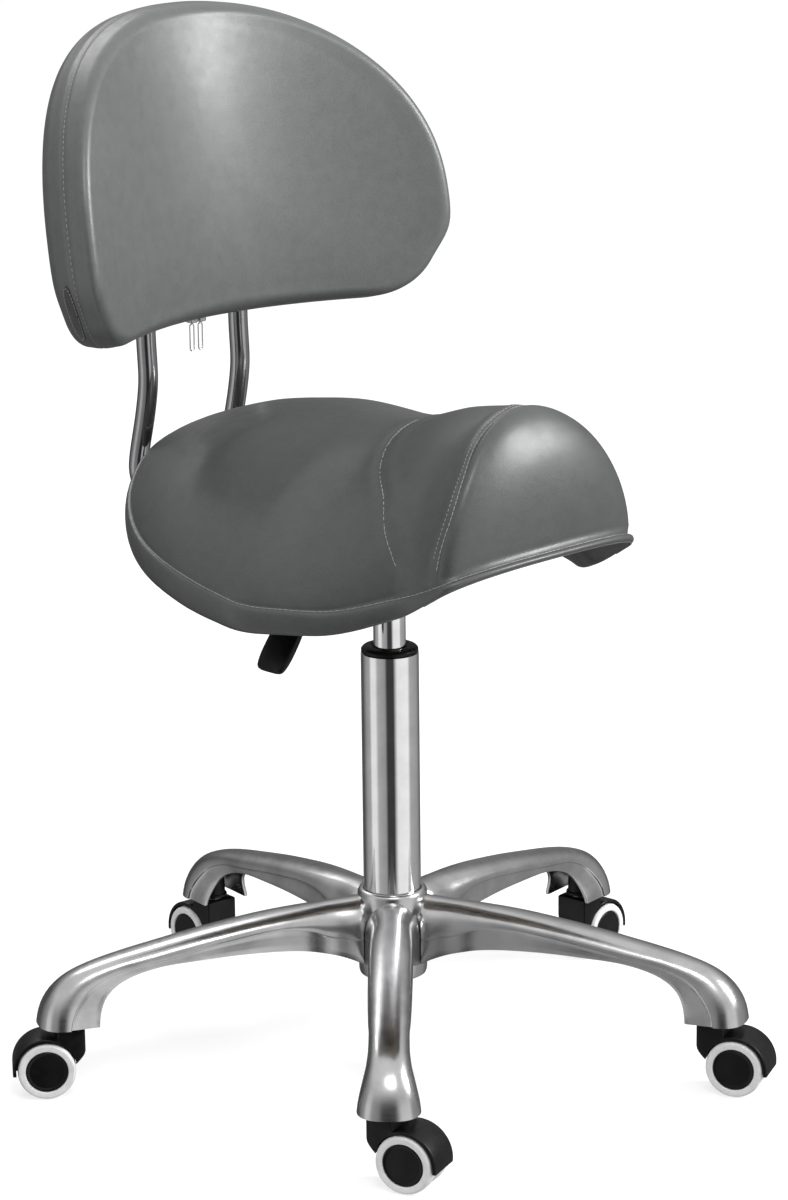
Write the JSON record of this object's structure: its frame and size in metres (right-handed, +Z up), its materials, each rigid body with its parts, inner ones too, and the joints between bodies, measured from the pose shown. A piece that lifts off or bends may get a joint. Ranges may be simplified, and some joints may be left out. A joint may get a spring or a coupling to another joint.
{
  "type": "dental saddle stool with backrest",
  "caption": "Saddle stool with a curved backrest, gas height adjustment, swivelling seat, cast star base and twin-wheel swivel casters.",
  "frame": {"origin": "on the floor, at the centre of the whole stool's plan box; the column's axis is 14.7 mm to -X and 13.7 mm to -Y of it", "axes": "+Z up, the sitter faces -Y, +X is the sitter's left"},
  "size_m": [0.6459, 0.6515, 0.9017],
  "materials": {
    "polished_aluminium": "polished casting",
    "chrome": "bright chrome plate",
    "bright_steel": "zinc plate",
    "black_steel": "black powder coat",
    "black_plastic": "moulded black nylon",
    "light_tread": "smooth light grey polyurethane",
    "plywood": "moulded plywood",
    "grey_vinyl": "soft grey vinyl with light stitching"
  },
  "bodies": {
    "base": {"base_casting": "polished_aluminium", "column_outer_tube": "chrome", "column_guide_bush": "black_plastic", "thrust_bearing": "bright_steel", "rod_retaining_clip": "bright_steel", "caster_1_stem": "bright_steel", "caster_2_stem": "bright_steel", "caster_3_stem": "bright_steel", "caster_4_stem": "bright_steel", "caster_5_stem": "bright_steel"},
    "gas_rod": {"gas_rod": "bright_steel"},
    "seat": {"gas_cylinder": "chrome", "seat_mechanism": "black_steel", "lever_pivot_pin": "bright_steel", "mechanism_bolt_1": "bright_steel", "mechanism_bolt_2": "bright_steel", "mechanism_bolt_3": "bright_steel", "mechanism_bolt_4": "bright_steel", "seat_board": "plywood", "seat_cushion": "grey_vinyl", "backrest_bracket": "black_steel", "backrest_tube_left": "chrome", "backrest_tube_right": "chrome", "backrest_board": "plywood", "backrest_cushion": "grey_vinyl"},
    "height_lever": {"height_lever": "black_steel", "lever_paddle": "black_plastic"},
    "release_button": {"release_button": "bright_steel"},
    "zipper_pull_left": {"zipper_pull_left": "chrome"},
    "zipper_pull_right": {"zipper_pull_right": "chrome"},
    "caster_1": {"caster_1_hood": "black_plastic", "caster_1_axle": "bright_steel"},
    "caster_1_wheel_left": {"caster_1_core_left": "black_plastic", "caster_1_tread_left": "light_tread"},
    "caster_1_wheel_right": {"caster_1_core_right": "black_plastic", "caster_1_tread_right": "light_tread"},
    "caster_2": {"caster_2_hood": "black_plastic", "caster_2_axle": "bright_steel"},
    "caster_2_wheel_left": {"caster_2_core_left": "black_plastic", "caster_2_tread_left": "light_tread"},
    "caster_2_wheel_right": {"caster_2_core_right": "black_plastic", "caster_2_tread_right": "light_tread"},
    "caster_3": {"caster_3_hood": "black_plastic", "caster_3_axle": "bright_steel"},
    "caster_3_wheel_left": {"caster_3_core_left": "black_plastic", "caster_3_tread_left": "light_tread"},
    "caster_3_wheel_right": {"caster_3_core_right": "black_plastic", "caster_3_tread_right": "light_tread"},
    "caster_4": {"caster_4_hood": "black_plastic", "caster_4_axle": "bright_steel"},
    "caster_4_wheel_left": {"caster_4_core_left": "black_plastic", "caster_4_tread_left": "light_tread"},
    "caster_4_wheel_right": {"caster_4_core_right": "black_plastic", "caster_4_tread_right": "light_tread"},
    "caster_5": {"caster_5_hood": "black_plastic", "caster_5_axle": "bright_steel"},
    "caster_5_wheel_left": {"caster_5_core_left": "black_plastic", "caster_5_tread_left": "light_tread"},
    "caster_5_wheel_right": {"caster_5_core_right": "black_plastic", "caster_5_tread_right": "light_tread"}
  },
  "joints": [
    {"name": "seat_swivel", "type": "hinge", "parent": "base", "child": "gas_rod", "pos_m": [-0.0147, -0.0137, 0.2], "axis": [0, 0, 1], "continuous": true},
    {"name": "height_slide", "type": "slide", "parent": "gas_rod", "child": "seat", "axis": [0, 0, 1], "range_m": [-0.079, 0.055]},
    {"name": "lever_lift", "type": "hinge", "parent": "seat", "child": "height_lever", "pos_m": [-0.0367, -0.0137, 0.487], "axis": [0, 1, 0], "range_deg": [0, 6], "stiffness_Nm_per_rad": 4, "springref_deg": -2.86},
    {"name": "button_press", "type": "slide", "parent": "seat", "child": "release_button", "axis": [0, 0, -1], "range_m": [0, 0.0025]},
    {"name": "zipper_pull_left_swing", "type": "hinge", "parent": "seat", "child": "zipper_pull_left", "pos_m": [-0.0097, 0.2233, 0.6215], "axis": [1, 0, 0], "range_deg": [-40, 70]},
    {"name": "zipper_pull_right_swing", "type": "hinge", "parent": "seat", "child": "zipper_pull_right", "pos_m": [-0.0197, 0.2233, 0.6215], "axis": [1, 0, 0], "range_deg": [-40, 70]},
    {"name": "caster_1_swivel", "type": "hinge", "parent": "base", "child": "caster_1", "pos_m": [-0.22403, -0.21642, 0.05], "axis": [0, 0, 1], "continuous": true},
    {"name": "caster_1_left_roll", "type": "hinge", "parent": "caster_1", "child": "caster_1_wheel_left", "pos_m": [-0.21752, -0.23533, 0.025], "axis": [0.9455, 0.3256, 0], "continuous": true},
    {"name": "caster_1_right_roll", "type": "hinge", "parent": "caster_1", "child": "caster_1_wheel_right", "pos_m": [-0.21752, -0.23533, 0.025], "axis": [0.9455, 0.3256, 0], "continuous": true},
    {"name": "caster_2_swivel", "type": "hinge", "parent": "base", "child": "caster_2", "pos_m": [0.11341, -0.27543, 0.05], "axis": [0, 0, 1], "continuous": true},
    {"name": "caster_2_left_roll", "type": "hinge", "parent": "caster_2", "child": "caster_2_wheel_left", "pos_m": [0.12173, -0.29362, 0.025], "axis": [0.9092, 0.4163, 0], "continuous": true},
    {"name": "caster_2_right_roll", "type": "hinge", "parent": "caster_2", "child": "caster_2_wheel_right", "pos_m": [0.12173, -0.29362, 0.025], "axis": [0.9092, 0.4163, 0], "continuous": true},
    {"name": "caster_3_swivel", "type": "hinge", "parent": "base", "child": "caster_3", "pos_m": [0.27381, 0.02726, 0.05], "axis": [0, 0, 1], "continuous": true},
    {"name": "caster_3_left_roll", "type": "hinge", "parent": "caster_3", "child": "caster_3_wheel_left", "pos_m": [0.29372, 0.0291, 0.025], "axis": [-0.0924, 0.9957, 0], "continuous": true},
    {"name": "caster_3_right_roll", "type": "hinge", "parent": "caster_3", "child": "caster_3_wheel_right", "pos_m": [0.29372, 0.0291, 0.025], "axis": [-0.0924, 0.9957, 0], "continuous": true},
    {"name": "caster_4_swivel", "type": "hinge", "parent": "base", "child": "caster_4", "pos_m": [0.0355, 0.27334, 0.05], "axis": [0, 0, 1], "continuous": true},
    {"name": "caster_4_left_roll", "type": "hinge", "parent": "caster_4", "child": "caster_4_wheel_left", "pos_m": [0.03735, 0.29326, 0.025], "axis": [-0.9957, 0.0924, 0], "continuous": true},
    {"name": "caster_4_right_roll", "type": "hinge", "parent": "caster_4", "child": "caster_4_wheel_right", "pos_m": [0.03735, 0.29326, 0.025], "axis": [-0.9957, 0.0924, 0], "continuous": true},
    {"name": "caster_5_swivel", "type": "hinge", "parent": "base", "child": "caster_5", "pos_m": [-0.27218, 0.12275, 0.05], "axis": [0, 0, 1], "continuous": true},
    {"name": "caster_5_left_roll", "type": "hinge", "parent": "caster_5", "child": "caster_5_wheel_left", "pos_m": [-0.28773, 0.13533, 0.025], "axis": [-0.6293, -0.7771, 0], "continuous": true},
    {"name": "caster_5_right_roll", "type": "hinge", "parent": "caster_5", "child": "caster_5_wheel_right", "pos_m": [-0.28773, 0.13533, 0.025], "axis": [-0.6293, -0.7771, 0], "continuous": true}
  ],
  "couplings": [
    {"joint": "button_press", "follows": "lever_lift", "m_per_rad": 0.022}
  ]
}
